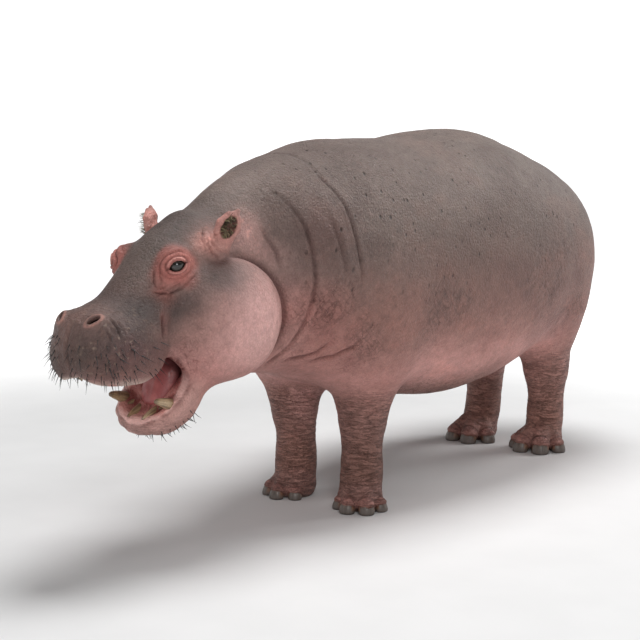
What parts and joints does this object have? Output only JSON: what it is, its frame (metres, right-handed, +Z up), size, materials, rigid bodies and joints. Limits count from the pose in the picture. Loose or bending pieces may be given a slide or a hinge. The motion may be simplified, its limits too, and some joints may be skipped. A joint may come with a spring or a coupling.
{
  "type": "hippopotamus model",
  "caption": "Life-size still model of a standing adult hippopotamus with its head level and its mouth half open.",
  "frame": {"origin": "on the floor, under the centre of the bounding box", "axes": "+Z up, the animal faces -Y, +X is its left side; mirror-symmetric about the plane x = 0"},
  "size_m": [1.035, 3.3309, 1.6017],
  "materials": {
    "skin": "thick bare hide, grey-brown above and pink below, finely wrinkled, slightly moist sheen",
    "eye": "wet glossy grey-brown eyeball with a dark pupil",
    "tooth": "ivory stained brown toward the tips, satin",
    "tongue": "moist dull rose, finely bumped",
    "nail": "grey-brown horn, satin, fine ridges"
  },
  "bodies": {
    "root": {"trunk": "skin", "neck": "skin", "head": "skin", "lower_jaw": "skin", "tail": "skin", "ear_left": "skin", "ear_right": "skin", "foreleg_left": "skin", "foreleg_right": "skin", "hindleg_left": "skin", "hindleg_right": "skin", "tongue": "tongue", "lower_tusk_left": "tooth", "lower_tusk_right": "tooth", "lower_incisor_left": "tooth", "lower_incisor_right": "tooth", "side_incisor_left": "tooth", "side_incisor_right": "tooth", "upper_tusk_left": "tooth", "upper_tusk_right": "tooth", "upper_incisor_left": "tooth", "upper_incisor_right": "tooth", "eye_left": "eye", "eye_right": "eye", "nail_fore_left_1": "nail", "nail_fore_left_2": "nail", "nail_fore_left_3": "nail", "nail_fore_left_4": "nail", "nail_fore_right_1": "nail", "nail_fore_right_2": "nail", "nail_fore_right_3": "nail", "nail_fore_right_4": "nail", "nail_hind_left_1": "nail", "nail_hind_left_2": "nail", "nail_hind_left_3": "nail", "nail_hind_left_4": "nail", "nail_hind_right_1": "nail", "nail_hind_right_2": "nail", "nail_hind_right_3": "nail", "nail_hind_right_4": "nail"}
  },
  "joints": []
}
